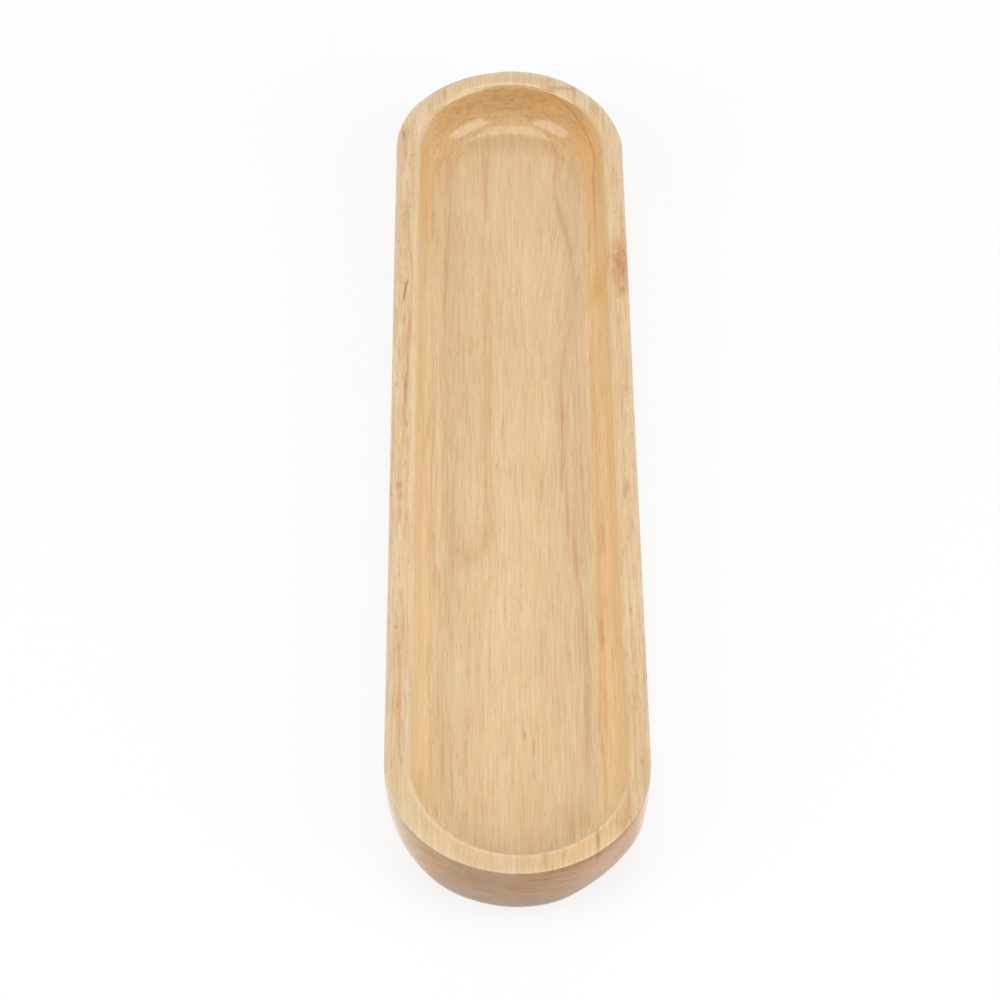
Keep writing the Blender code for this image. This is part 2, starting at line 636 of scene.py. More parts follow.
# %% [markdown]
# ## Fibres
#
# Seen close, the board is a field of fine lines along its length. Some are hairs a third of a millimetre
# wide and some are threads, and they gather in groups with calmer wood between. A picture of wood wrapped
# round the tray would stretch where the wall turns. So each kind of line is noise drawn out along the
# grain, at its own width, and a slower noise says where the threads gather. Where the inside of an end cuts
# the fibres, they show less.

# %% Widths of fibre
fibres = fibre_noise((1.2, 28.0, 1.2), 3.0, 0.65)
hair_fibres = fibre_noise((0.32, 9.0, 0.32), 2.0, 0.6)
threads = fibre_noise((0.6, 15.0, 0.6), 3.0, 0.6)
dark_threads = fibre_noise((0.6, 26.0, 0.6), 2.0, 0.5)
patches = grain_noise(fibre, (13.0, 42.0, 13.0), detail=2.0)
streak_groups = ease(grain_noise(fibre, (5.5, 60.0, 5.5), detail=1.0), 0.38, 0.60, 0.25, 1.0)
print("fibres from 0.32 to 1.2 mm wide, in patches 13 mm wide")

# %% Fibres on the board
PATCH_TINT = (0.98, 0.96, 0.935)
FIBRE_TINT = (0.95, 0.89, 0.825)
HAIR_TINT = (0.86, 0.83, 0.80)
THREAD_TINT = (0.93, 0.895, 0.86)
DARK_THREAD_TINT = (0.87, 0.82, 0.79)

long_grain = inverse(times(inner_end, 0.6))
rim_calm = times(rim_zone, ease(calc("ABSOLUTE", along), 140.0, 170.0, 0.0, 0.5))
thread_share = times(streak_groups, minus(long_grain, rim_calm))
stain(ease(patches, 0.38, 0.66), PATCH_TINT)
stain(ease(fibres, 0.30, 0.72), FIBRE_TINT)
stain(times(ease(hair_fibres, 0.38, 0.78), long_grain), HAIR_TINT)
stain(times(ease(threads, 0.46, 0.74, 0.0, 0.8), thread_share), THREAD_TINT)
stain(times(ease(dark_threads, 0.57, 0.67, 0.0, 0.75), thread_share), DARK_THREAD_TINT)
print("stains noted so far:", len(stains))

# %% Pink and yellow clouds
PINK_CLOUD = (1.0, 0.965, 0.955)
YELLOW_CLOUD = (0.985, 1.0, 0.94)

clouds = grain_noise(fibre, (7.0, 18.0, 7.0), detail=2.0, roughness=0.6)
stain(ease(clouds, 0.50, 0.66), PINK_CLOUD)
stain(ease(clouds, 0.50, 0.34), YELLOW_CLOUD)
print("clouds up to 18 mm long")

# %% [markdown]
# ## The rim
#
# The flat rim is the top of the board, where the plane tore the fibres a little, so its streaks are sharper
# and darker than those of the floor. They are calmest round the near end. A second material could be given
# to the rim's faces, but the figure would then break along the lip. A mask for the rim keeps it one wood,
# and the same mask carries the tones of each stretch of rim.

# %% Streaks of the rim
RIM_STREAK = (0.95, 0.86, 0.76)
RIM_THREAD = (0.88, 0.80, 0.73)
RIM_PATCH = (0.98, 0.93, 0.84)

rim_streaks = grain_noise(fibre, (1.2, 42.0, 6.0), detail=4.0, roughness=0.66)
rim_threads = grain_noise(fibre, (0.5, 12.0, 3.0), detail=3.0, roughness=0.65)
rim_patches = grain_noise(fibre, (5.0, 34.0, 9.0), detail=2.0)
calm_near = times(ease(along, -135.0, -165.0), ease(across, 14.0, 0.0, 0.3, 0.85))
calm_far = ease(along, 155.0, 180.0, 0.0, 0.6)
calm = calc("MAXIMUM", calc("MAXIMUM", calm_near, calm_far), times(lip_zone, 0.75))
streaky = times(rim_zone, inverse(calm), ease(across, 8.0, -8.0, 1.0, 1.35))
stain(times(streaky, ease(rim_streaks, 0.44, 0.66)), RIM_STREAK)
stain(times(streaky, ease(rim_threads, 0.5, 0.70)), RIM_THREAD)
stain(times(rim_zone, ease(rim_patches, 0.5, 0.66)), RIM_PATCH)
print("rim streaks up to 42 mm long")

# %% Tones round the rim
RIM_TONE = (0.965, 0.975, 1.02)
LEFT_RIM_TONE = (1.01, 1.03, 1.055)
NEAR_RIM_TONE = (0.925, 0.915, 0.885)
NEAR_RIGHT_RIM_TONE = (0.975, 0.945, 0.885)
FAR_RIM_TONE = (0.965, 0.97, 0.985)
RIM_EDGE_TONE = (0.985, 1.03, 1.13)
FAR_RIGHT_EDGE_TONE = (1.0, 1.06, 1.16)

rim_edge = times(rim_zone, ease(edge_inset, 1.2, 3.4, 1.0, 0.0))
near_right = times(ease(along, -158.0, -178.0), ease(across, -2.0, 16.0))
far_right = times(right_side, ease(along, 110.0, 145.0))
stain(rim_zone, RIM_TONE)
stain(times(rim_zone, left_side), LEFT_RIM_TONE)
stain(times(rim_zone, ease(along, -50.0, -165.0)), NEAR_RIM_TONE)
stain(times(rim_zone, near_right), NEAR_RIGHT_RIM_TONE)
stain(times(rim_zone, ease(along, 160.0, 185.0)), FAR_RIM_TONE)
stain(rim_edge, RIM_EDGE_TONE)
stain(times(rim_edge, far_right), FAR_RIGHT_EDGE_TONE)
print("seven tones on the rim and its edge")

# %% [markdown]
# ## The wall and the cove
#
# The cutter went down the wall at a slant to the fibres, and slanted wood takes lacquer more deeply. The
# wall is therefore richer and more golden than the floor, with soft dark streaks, and each side has its own
# tone. Lights could be coloured to get this, but it belongs to the wood and has to stay when the tray is
# turned, so it is a stain on the wall's own mask. The paler top of the left wall is different: it is
# painted sheen from the lamp on the right.

# %% Tones of the wall
WALL_TONE = (1.105, 1.04, 0.985)
LEFT_WALL_TONE = (1.115, 1.12, 1.17)
LEFT_TOP_SHEEN = (1.03, 1.06, 1.11)
FAR_WALL_TONE = (0.985, 0.96, 0.91)

side_wall = times(wall_zone, ease(along, -172.0, -140.0), inverse(times(inner_end, 0.8)))
left_wall_top = times(ease(well_inset, 9.5, 13.5, 1.0, 0.0), ease(along, 40.0, -30.0))
stain(times(side_wall, right_side), WALL_TONE)
stain(times(side_wall, left_side), LEFT_WALL_TONE)
stain(times(side_wall, ease(along, 60.0, 150.0)), FAR_WALL_TONE)
# Painted sheen: the top of the left wall, which faces the right softbox, is made paler.
stain(times(wall_zone, left_wall_top, left_side), LEFT_TOP_SHEEN)
print("four tones on the wall")

# %% Streaks of the wall
RIGHT_BAND_TONE = (1.0, 1.02, 1.04)
DARK_STREAK = (0.92, 0.86, 0.77)
GOLDEN_STREAK = (1.02, 1.03, 0.98)

wall_band = times(wall_rise, ease(well_inset, 18.0, 23.0, 1.0, 0.0))
wall_streaks = grain_noise(fibre, (2.4, 34.0, 2.4), detail=3.0, roughness=0.65)
stain(times(wall_band, right_side), RIGHT_BAND_TONE)
stain(times(wall_band, ease(wall_streaks, 0.50, 0.68), long_grain), DARK_STREAK)
stain(times(wall_band, ease(wall_streaks, 0.46, 0.30), long_grain), GOLDEN_STREAK)
print("wall streaks 2.4 mm wide")

# %% Where the walls turn into the coves
LEFT_TURN_TONE = (0.95, 0.93, 0.89)
FAR_TURN_TONE = (0.96, 0.91, 0.83)

left_turn = times(ease(well_inset, 12.4, 14.0), ease(well_inset, 15.4, 18.5, 1.0, 0.0), left_side)
stain(times(left_turn, side_wall), LEFT_TURN_TONE)
far_turn = times(ease(well_inset, 8.5, 10.5), ease(well_inset, 18.0, 22.0, 1.0, 0.0))
far_turn = times(far_turn, ease(along, 135.0, 155.0), ease(along, 172.0, 182.0, 1.0, 0.0))
stain(far_turn, FAR_TURN_TONE)
print("a darker line where the left wall and the far wall turn")

# %% [markdown]
# ## The long loop
#
# The loop is one thin dark sheet of growth, cut by the floor. It could be drawn as a curve on the floor,
# but it would stop dead at the wall. Here it is all the wood where the ring function is near zero, and how
# near decides its width. It fades towards the far end, is fainter on its left leg, and breaks up with the
# fibres it crosses.

# %% The long loop
LOOP_TINT = (0.95, 0.80, 0.73)


def bell(offset):
    """1 where the offset is 0, falling off in a bell shape to both sides."""
    return calc("EXPONENT", times(offset, offset, -1.0))


loop_line = calc("DIVIDE", ring, ease(along, -20.0, -42.0, 0.17, 0.22))
loop_far_fade = ease(along, 50.0, 125.0, 1.0, 0.15)
loop_left_fade = ease(from_loop, -9.0, -2.0, 0.3, 1.0)
tip_fade = ease(along, -26.0, -40.0, 1.0, 0.85)
loop_breaks = ease(grain_noise(place, (2.2, 9.0, 2.2), detail=2.0), 0.36, 0.6, 0.8, 1.0)
loop_strength = times(loop_far_fade, loop_left_fade, tip_fade, loop_breaks)
loop_mask = times(bell(loop_line), loop_strength, ease(fibres, 0.25, 0.6, 0.75, 1.0))
stain(loop_mask, LOOP_TINT)
print("the loop runs from about -42 mm to 125 mm along the board")

# %% [markdown]
# ## Single lines of darker fibre
#
# Between the rings run a few separate lines that the eye picks out at once. Each is a soft stripe that
# follows its own gently bent path along the board. A curve object laid on the surface would stand proud and
# would need its own finish, while a stripe in the stain is part of the wood. Most lines belong to the layer
# of wood at the floor, and fade out above and below it. Those on the rim belong to the top layer.

# %% Paths and stripes
def bent_path(start_x, *bends):
    """The x of a line at every point along the board; each bend is (from y, to y, sideways shift)."""
    path = start_x
    for from_y, to_y, shift in bends:
        path = plus(path, ease(along, from_y, to_y, 0.0, shift))
    return path


def stripe_mask(path, half_width, start_y, end_y, fade, layer):
    """1 on the path, falling off in a bell shape to each side and fading out at both ends."""
    side = calc("DIVIDE", minus(jittered_x, path), half_width)
    begins = ease(along, start_y - fade, start_y + fade)
    stops = ease(along, end_y - fade, end_y + fade, 1.0, 0.0)
    return times(bell(side), begins, stops, fibre_breaks, layer)


def draw_line(path, half_width, start_y, end_y, tint, strength=1.0, fade=12.0, layer=None):
    """Stains one line. It lies in the layer of the floor if no other layer is given."""
    mask = stripe_mask(path, half_width, start_y, end_y, fade, layer or floor_layer)
    stain(times(mask, strength), tint)


floor_layer = times(ease(up, 2.0, 8.0), ease(up, 12.0, 16.0, 1.0, 0.0))
fibre_breaks = ease(fibres, 0.25, 0.6, 0.55, 1.0)
jitter = grain_noise(place, (3.0, 14.0, 3.0), detail=2.0)
jittered_x = plus(across, times(minus(jitter, 0.5), 2.2))
print("lines waver by about a millimetre")

# %% Lines on the right of the floor
right_long_line = bent_path(25.2, (95.0, 35.0, -6.6), (5.0, -90.0, 6.4), (-110.0, -150.0, -1.0))
draw_line(right_long_line, 1.1, -138.0, 62.0, PINK_BROWN)
draw_line(right_long_line, 0.7, 18.0, 52.0, RED_BROWN, 0.25, fade=6.0)
right_slant = bent_path(18.2, (150.0, 95.0, 7.0))
draw_line(right_slant, 1.0, 109.0, 141.0, RED_BROWN, 0.6, fade=6.0)
draw_line(right_slant, 1.0, 84.0, 112.0, PINK_BROWN, 0.5, fade=8.0)
far_slant = bent_path(14.6, (183.0, 163.0, 5.2), (163.0, 148.0, -1.6))
draw_line(far_slant, 0.8, 150.0, 184.0, PINK_BROWN, 0.85, fade=5.0)
right_wall_line = bent_path(31.4, (-5.0, -45.0, -0.6))
draw_line(right_wall_line, 0.7, -88.0, -8.0, GREY_BROWN, 0.5, fade=8.0)
draw_line(right_wall_line, 1.4, -120.0, 60.0, ORANGE_FLUSH, 0.6, fade=15.0)
print("four paths on the right")

# %% Lines on the left and in the middle
far_left_line = bent_path(-23.7, (140.0, 85.0, -2.0))
draw_line(far_left_line, 0.6, 72.0, 154.0, PINK_BROWN)
far_middle_line = bent_path(-8.4, (165.0, 145.0, -1.2))
draw_line(far_middle_line, 0.8, 128.0, 178.0, PINK_BROWN, fade=6.0)
left_inner_line = bent_path(-22.4, (-35.0, 55.0, 4.2))
draw_line(left_inner_line, 0.6, -45.0, 62.0, GREY_BROWN, 0.55)
middle_inner_line = bent_path(-19.2, (-20.0, 40.0, 2.6))
draw_line(middle_inner_line, 0.5, -30.0, 45.0, GREY_BROWN, 0.45)
left_short_line = bent_path(-26.0, (0.0, -40.0, 0.6))
draw_line(left_short_line, 0.8, -34.0, -12.0, PINK_BROWN, fade=8.0)
print("five paths on the left and in the middle")

# %% Lines on the left rim
LEFT_RIM_LINE_TINT = (0.86, 0.78, 0.69)
DARK_STROKE_TINT = (0.55, 0.42, 0.32)

left_rim_line = bent_path(-38.1, (66.0, 40.0, -1.4), (36.0, 4.0, -0.6))
draw_line(left_rim_line, 0.6, 2.0, 54.0, LEFT_RIM_LINE_TINT, fade=8.0, layer=rim_height)
draw_line(left_rim_line, 0.6, 13.0, 28.0, RED_BROWN, 0.9, fade=3.0, layer=rim_height)
left_rim_stroke = bent_path(-39.8, (79.0, 62.0, -1.8))
draw_line(left_rim_stroke, 0.4, 64.5, 76.0, DARK_STROKE_TINT, fade=2.0, layer=rim_height)
print("two paths on the left rim")

# %% Pale bands
PALE_BAND = (1.03, 1.05, 1.10)
LEFT_EDGE_BAND = (1.035, 1.045, 1.05)
MIDDLE_BAND = (1.02, 1.045, 1.08)
RIGHT_FOOT_BAND = (1.045, 1.045, 1.055)

draw_line(-21.0, 2.6, -150.0, -55.0, PALE_BAND, fade=25.0)
draw_line(-24.3, 2.0, -45.0, 95.0, LEFT_EDGE_BAND, fade=18.0)
draw_line(-22.5, 3.5, -25.0, 80.0, MIDDLE_BAND, fade=22.0)
draw_line(24.0, 3.0, -75.0, 65.0, RIGHT_FOOT_BAND, fade=20.0)
right_pale_path = bent_path(18.0, (0.0, -120.0, 2.5))
draw_line(right_pale_path, 2.4, -155.0, -15.0, PALE_BAND, fade=25.0)
print("five pale bands")

# %% [markdown]
# ## A dark ring on the far right wall
#
# On the far right the wall cuts through one dark ring, which climbs towards the end as the sheets of growth
# do. A line with a path along the floor can't climb. So this one is given by its height instead: a straight
# rise plus a curve that steepens past the start of the round end.

# %% The dark ring
DARK_RING_TINT = (0.80, 0.68, 0.58)
DARK_RING_HALF_WIDTH = 0.75
DARK_RING_START = 15.2
DARK_RING_BEND = 150.0
DARK_RING_SLOPE = 0.24
DARK_RING_STEEPENING = 0.0055

past_ring_bend = calc("MAXIMUM", minus(along, DARK_RING_BEND), 0.0)
ring_curve = times(calc("POWER", past_ring_bend, 2.0), DARK_RING_STEEPENING)
dark_ring_height = plus(times(past_ring_bend, DARK_RING_SLOPE), ring_curve, DARK_RING_START)
ring_gap = minus(plus(up, jitter), plus(dark_ring_height, 0.5))
ring_reach = times(ease(across, 7.0, 15.0), ease(along, 78.0, 132.0))
dark_ring = times(bell(calc("DIVIDE", ring_gap, DARK_RING_HALF_WIDTH)), ring_reach, 0.8)
stain(dark_ring, DARK_RING_TINT)
print("the ring starts", DARK_RING_START, "mm above the base")

# %% [markdown]
# ## Pores
#
# Rubberwood has pores wide enough to see: fine dark strokes a few millimetres long on every long face, and
# dots on the ends. Stretched Voronoi cells do this well, because each cell holds one stroke at a random
# place. They bunch together in some patches and are missing in others, which a slow noise takes care of.

# %% Strokes in cells
def pore_mask(position, size, reach, fewest):
    """Thin dark strokes: one in the middle of each stretched cell, of random strength."""
    cells = board.nodes.new("ShaderNodeTexVoronoi")
    feed(cells.inputs["Vector"], stretched(position, size))
    cells.inputs["Scale"].default_value = 1.0
    middle = ease(cells.outputs["Distance"], reach * 0.3, reach, 1.0, 0.0)
    pick = board.nodes.new("ShaderNodeSeparateColor")
    feed(pick.inputs["Color"], cells.outputs["Color"])
    return times(middle, ease(pick.outputs["Red"], fewest, 1.0))


bunches = ease(grain_noise(fibre, (7.0, 40.0, 7.0), detail=1.0), 0.35, 0.65, 0.25, 1.0)
fine_pores = times(pore_mask(fibre, (0.8, 6.5, 0.8), 0.34, 0.0), bunches, inverse(times(lean_zone, 0.7)))
open_pores = times(pore_mask(fibre, (2.0, 13.0, 2.0), 0.16, 0.2), bunches)
leaning_strokes = times(pore_mask(leaning, (1.4, 11.0, 1.4), 0.30, 0.25), lean_zone)
rim_flecks = times(pore_mask(fibre, (1.5, 4.5, 2.0), 0.30, 0.40), streaky)
print("four kinds of pore")

# %% Pores on the board
LEANING_STROKE_TINT = (0.84, 0.75, 0.69)
RIM_FLECK_TINT = (0.80, 0.68, 0.58)

stain(times(fine_pores, 0.45), DARK_PORE)
stain(times(open_pores, 0.6), DARK_PORE)
stain(times(leaning_strokes, 0.7), LEANING_STROKE_TINT)
stain(times(rim_flecks, 0.85), RIM_FLECK_TINT)
print("stains noted so far:", len(stains))

# %% [markdown]
# ## The knot and the small marks
#
# The knot is a twig that the trunk grew over, cut along its side by the rim. It has no clean outline: a
# redder, speckled cloud, darkest in the middle, with a second spot below it. The other marks are short
# mineral streaks and flecks. They could be painted, but a painted image has only one size. Each is a soft
# patch in the wood instead, stretched along the grain and placed one by one.

# %% The knot
KNOT_PINK = (0.93, 0.79, 0.72)
KNOT_FLECK = (0.78, 0.68, 0.60)

ragged = grain_noise(place, (1.6, 4.0, 1.6), detail=3.0, roughness=0.65)
ragged_radius = plus(knot_radius, times(minus(ragged, 0.5), 4.5))
knot_depth = ease(up, 22.0, 28.0)
knot_flecks = ease(grain_noise(place, (0.7, 1.1, 0.9), detail=2.0, roughness=0.6), 0.56, 0.68)
fleck_reach = ease(ragged_radius, 3.0, 6.4, 0.8, 0.0)
stain(times(ease(ragged_radius, 1.2, 6.8, 0.95, 0.0), knot_depth), KNOT_PINK)
stain(times(ease(ragged_radius, 0.0, 3.4, 0.65, 0.0), knot_depth), RED_BROWN)
stain(times(knot_flecks, fleck_reach, knot_depth), KNOT_FLECK)
print("the knot's cloud reaches 6.8 mm")

# %% A mark anywhere in the board
RIM_LEVEL = 1000 * HEIGHT


def mark(centre, size, tint, strength=1.0):
    """A soft patch of stain at centre, in millimetres, with its radius each way."""
    patch = board.nodes.new("ShaderNodeGroup")
    patch.node_tree = soft_patch
    feed(patch.inputs["Position"], place)
    patch.inputs["Centre"].default_value = centre
    patch.inputs["Size"].default_value = size
    stain(times(patch.outputs["Mask"], strength), tint)


def rim_mark(x, y, size, tint, strength=1.0):
    """A mark centred on the top of the rim."""
    mark((x, y, RIM_LEVEL), size, tint, strength)


print("marks on the rim are centred", RIM_LEVEL, "mm up")

# %% Marks round the knot
UNDER_KNOT = (0.86, 0.80, 0.62)
PALE_SPOT = (1.03, 1.08, 1.02)
ROSY_STREAK = (1.02, 0.97, 1.02)
ABOVE_KNOT = (0.88, 0.80, 0.72)

rim_mark(42.0, 77.5, (2.2, 5.0, 3.0), KNOT_PINK, 0.7)
rim_mark(42.6, 70.4, (1.5, 2.2, 3.0), RED_BROWN, 0.75)
rim_mark(40.6, 67.6, (1.2, 1.0, 3.0), UNDER_KNOT, 0.7)
rim_mark(40.8, 64.6, (1.1, 1.8, 3.0), PALE_SPOT)
rim_mark(38.9, 76.0, (0.9, 8.0, 3.0), ROSY_STREAK)
rim_mark(41.6, 96.5, (2.2, 1.3, 3.0), ABOVE_KNOT, 0.6)
print("six marks round the knot")

# %% Marks on the right rim
FAR_RIGHT_CLOUD = (0.95, 0.89, 0.84)

rim_mark(35.5, 171.0, (2.2, 7.0, 4.0), FAR_RIGHT_CLOUD)
rim_mark(26.5, 182.0, (0.8, 4.5, 4.0), RED_BROWN, 0.7)
rim_mark(16.0, 189.0, (2.0, 1.4, 4.0), RED_BROWN, 0.4)
rim_mark(42.2, 19.9, (0.7, 3.0, 4.0), RED_BROWN, 0.3)
rim_mark(41.1, -28.0, (0.6, 2.6, 3.0), RED_BROWN, 0.6)
rim_mark(40.2, -30.6, (0.6, 4.5, 4.0), RED_BROWN, 0.4)
rim_mark(42.3, -46.0, (0.6, 3.2, 3.0), RED_BROWN, 0.6)
rim_mark(41.0, -46.7, (0.9, 6.0, 4.0), PINK_BROWN, 0.75)
rim_mark(41.9, -67.0, (0.5, 4.5, 4.0), RED_BROWN, 0.35)
rim_mark(40.2, -86.2, (0.6, 2.4, 2.0), RED_BROWN, 0.7)
rim_mark(37.1, -115.7, (0.5, 1.6, 2.0), RED_BROWN, 0.6)
rim_mark(42.0, -150.0, (0.5, 1.0, 2.0), RED_BROWN, 0.8)
print("twelve marks on the right rim")

# %% Marks on the near rim
CLEAR_STROKE = (0.66, 0.45, 0.35)

rim_mark(37.2, -164.0, (1.0, 8.0, 4.0), PINK_BROWN, 0.9)
rim_mark(33.0, -173.0, (0.7, 4.0, 4.0), RED_BROWN, 0.4)
rim_mark(34.2, -174.4, (0.4, 4.5, 4.0), RED_BROWN, 0.5)
rim_mark(26.2, -181.6, (0.6, 6.5, 4.0), CLEAR_STROKE)
rim_mark(15.0, -187.0, (0.8, 3.0, 4.0), PINK_BROWN, 0.7)
rim_mark(8.7, -189.0, (0.9, 3.5, 4.0), RED_BROWN, 0.5)
rim_mark(3.5, -190.0, (0.7, 3.5, 4.0), RED_BROWN, 0.35)
print("seven marks on the near rim")

# %% Marks on the left rim
DULL_ORANGE = (0.99, 0.90, 0.80)
ROSY_LIP = (1.01, 0.97, 1.02)
FAR_LEFT_CLOUD = (0.94, 0.87, 0.81)

rim_mark(-40.6, -128.0, (1.1, 34.0, 3.0), PINK_BROWN, 0.8)
rim_mark(-40.2, -124.0, (0.6, 12.0, 3.0), DULL_ORANGE)
rim_mark(-38.4, -66.0, (0.6, 26.0, 4.0), ROSY_LIP)
rim_mark(-41.2, -43.0, (0.7, 2.6, 3.0), RED_BROWN, 0.5)
rim_mark(-41.7, -39.0, (0.9, 3.5, 3.0), RED_BROWN, 0.35)
rim_mark(-41.0, -32.4, (0.9, 1.8, 3.0), RED_BROWN, 0.6)
rim_mark(-41.5, -27.4, (1.0, 2.4, 3.0), RED_BROWN, 0.8)
rim_mark(-41.0, -14.5, (0.6, 6.0, 4.0), PINK_BROWN, 0.7)
rim_mark(-40.3, -5.7, (0.5, 4.0, 3.0), RED_BROWN, 0.5)
rim_mark(-39.8, 28.0, (1.2, 22.0, 4.0), PINK_BROWN, 0.35)
rim_mark(-42.4, 37.5, (0.5, 3.0, 3.0), RED_BROWN, 0.5)
rim_mark(-38.6, 88.0, (0.5, 4.0, 3.0), RED_BROWN, 0.5)
rim_mark(-41.0, 109.0, (0.9, 3.5, 3.0), ORANGE_FLUSH)
print("thirteen marks on the left rim")

# %% Marks on the far left rim
rim_mark(-42.8, 138.0, (0.6, 7.0, 4.0), RED_BROWN, 0.4)
rim_mark(-41.6, 147.0, (0.7, 7.0, 4.0), RED_BROWN, 0.6)
rim_mark(-42.1, 157.0, (0.8, 3.6, 4.0), DARK_PORE, 0.85)
rim_mark(-40.6, 157.0, (2.4, 8.0, 4.0), FAR_LEFT_CLOUD)
rim_mark(-40.4, 158.0, (0.5, 4.5, 4.0), PINK_BROWN, 0.7)
rim_mark(-26.0, 182.0, (0.6, 4.5, 4.0), RED_BROWN, 0.6)
print("six marks on the far left rim")

# %% Flecks in the well
mark((3.0, -125.5, 11.0), (0.5, 1.6, 3.0), RED_BROWN, 0.9)
mark((6.0, -131.0, 11.0), (0.5, 4.5, 3.0), RED_BROWN, 0.8)
mark((6.0, -142.0, 11.0), (0.6, 2.5, 3.0), RED_BROWN, 0.5)
mark((-5.9, -2.4, 11.0), (0.5, 2.2, 3.0), RED_BROWN, 0.7)
mark((31.2, -85.0, 12.6), (0.6, 2.6, 3.0), DARK_PORE, 0.5)
mark((31.5, -38.0, 12.8), (0.8, 9.0, 3.0), ORANGE_FLUSH, 0.6)
mark((24.8, -162.6, 11.2), (2.4, 3.0, 3.0), ORANGE_FLUSH, 0.7)
mark((31.2, -158.7, 13.5), (1.2, 2.4, 3.0), ORANGE_FLUSH, 0.7)
print("eight flecks in the well")

# %% Golden and darker places on the far wall
GOLDEN_PLACE = (0.98, 0.92, 0.70)
GOLDEN_HEART = (0.96, 0.91, 0.84)
GREY_PLACE = (0.95, 0.96, 0.93)
COVE_SHADE = (0.88, 0.90, 0.94)
FAR_RIGHT_GOLD = (1.05, 0.98, 0.84)
FAR_LEFT_GOLD = (1.04, 1.01, 0.94)

mark((33.5, 87.0, 17.0), (5.5, 12.0, 10.0), GOLDEN_PLACE)
mark((35.0, 84.0, 18.0), (4.5, 8.0, 8.0), GOLDEN_HEART)
mark((-3.0, 187.0, 24.0), (11.0, 8.0, 4.0), GREY_PLACE)
mark((0.0, 174.0, 12.5), (24.0, 8.0, 4.5), COVE_SHADE)
mark((17.0, 182.0, 23.0), (9.0, 9.0, 6.0), FAR_RIGHT_GOLD)
mark((-19.0, 181.0, 20.0), (8.0, 9.0, 5.0), FAR_LEFT_GOLD)
print("six broad places on the wall")

# %% [markdown]
# ## End grain
#
# Cut across, the open ends of the fibres drink in more lacquer and turn darker. The ends could be picked
# out by face, but the change is gradual round the curve. The surface's own normal tells how far it has
# turned: it points along the board at both ends and nowhere else. The outside drank the most and is a deep
# greyed brown, which is partly that end grain and partly painted shade for ends that face away from the
# lamps. The painted shade deepens from the top of each end down to its foot. The wall inside the well is
# golden.

# %% End grain and painted shade outside
OUTER_END_TOP = (0.67, 0.57, 0.50)
OUTER_END_GRAIN_AND_SHADE = (0.565, 0.465, 0.42)
OUTER_END_FOOT_SHADE = (0.40, 0.31, 0.285)
RIGHT_END_TONE = (0.93, 0.83, 0.76)
UNDER_RIM_SHADOW = (0.96, 0.92, 0.83)
UNDER_RIGHT_RIM_SHADOW = (0.86, 0.76, 0.70)

# Painted shade: the outer end is lighter at its top and darkest at its foot.
end_grain_and_shade = mix_colours(OUTER_END_GRAIN_AND_SHADE, ease(up, 22.0, 29.0), OUTER_END_TOP, "MIX")
end_grain_and_shade = mix_colours(end_grain_and_shade, ease(up, 15.0, 5.0), OUTER_END_FOOT_SHADE, "MIX")
stain(outer_end, end_grain_and_shade)
stain(times(outer_end, ease(across, 30.0, 42.0)), RIGHT_END_TONE)
# Painted shadow: a dark line on the outer ends just under the rim, strongest on their right.
stain(times(outer_end, ease(up, 26.0, 28.0)), UNDER_RIM_SHADOW)
under_right_rim_shadow = times(outer_end, ease(up, 27.6, 28.6), ease(across, 4.0, 20.0))
stain(under_right_rim_shadow, UNDER_RIGHT_RIM_SHADOW)
print("the outer ends are darkest at the foot")

# %% Painted light and shade on the near end
NEAR_END_LIGHT_RIGHT = (1.24, 1.22, 1.20)
NEAR_END_LIGHT_LEFT = (1.13, 1.12, 1.04)
NEAR_END_FOOT_SHADE = (0.92, 0.85, 0.84)
NEAR_END_UPPER_SHADE = (0.93, 0.91, 0.93)

# Painted light on the left and right of the near end, which turn towards the side lamps, and painted shade
# at its foot and high in its middle.
mark((25.0, -188.0, 23.5), (12.0, 9.0, 8.0), NEAR_END_LIGHT_RIGHT)
mark((-30.0, -183.5, 24.0), (8.0, 9.0, 7.0), NEAR_END_LIGHT_LEFT)
mark((12.0, -187.0, 7.0), (9.0, 9.0, 3.5), NEAR_END_FOOT_SHADE)
mark((-12.0, -190.0, 23.0), (7.0, 9.0, 6.0), NEAR_END_UPPER_SHADE)
print("four broad places on the near end")

# %% End grain inside
INNER_END_GRAIN = (0.88, 0.81, 0.70)
INNER_END_TOP = (0.90, 0.86, 0.79)

stain(inner_end, INNER_END_GRAIN)
stain(times(inner_end, ease(up, 19.0, 25.0)), INNER_END_TOP)
print("the inner ends are golden")

# %% Rings and pores seen end on
END_LAYER_TINT = (0.90, 0.83, 0.78)
GROWTH_LINE_TINT = (0.84, 0.80, 0.78)
MOTTLE_TINT = (0.87, 0.80, 0.70)

end_layers = times(ease(fine_layers, 0.40, 0.70, 0.0, 0.8), endwise, long_grain)
growth_lines = grain_noise(place, (16.0, 60.0, 0.9), detail=3.0, roughness=0.6)
mottle = grain_noise(place, (3.6, 8.0, 1.5), detail=3.0, roughness=0.6)
stain(end_layers, END_LAYER_TINT)
stain(times(outer_end, ease(growth_lines, 0.5, 0.66)), GROWTH_LINE_TINT)
stain(times(inner_end, ease(mottle, 0.45, 0.68)), MOTTLE_TINT)
print("growth lines 0.9 mm thick on the ends")

# %% [markdown]
# ## Handled edges
#
# The lip was rounded over with fine paper. Its paler tones are painted highlight, the light that the
# rounded lip catches, strongest at the near end. The outer edge of the rim is what hands hold and cloths
# rub, so its lacquer is thinner and drier, and never evenly so. The underside is scuffed where it slides on
# the table. Worn edges can also be found from how sharply the surface bends, but the heights and insets are
# known here, so plain masks are exact and cost less.

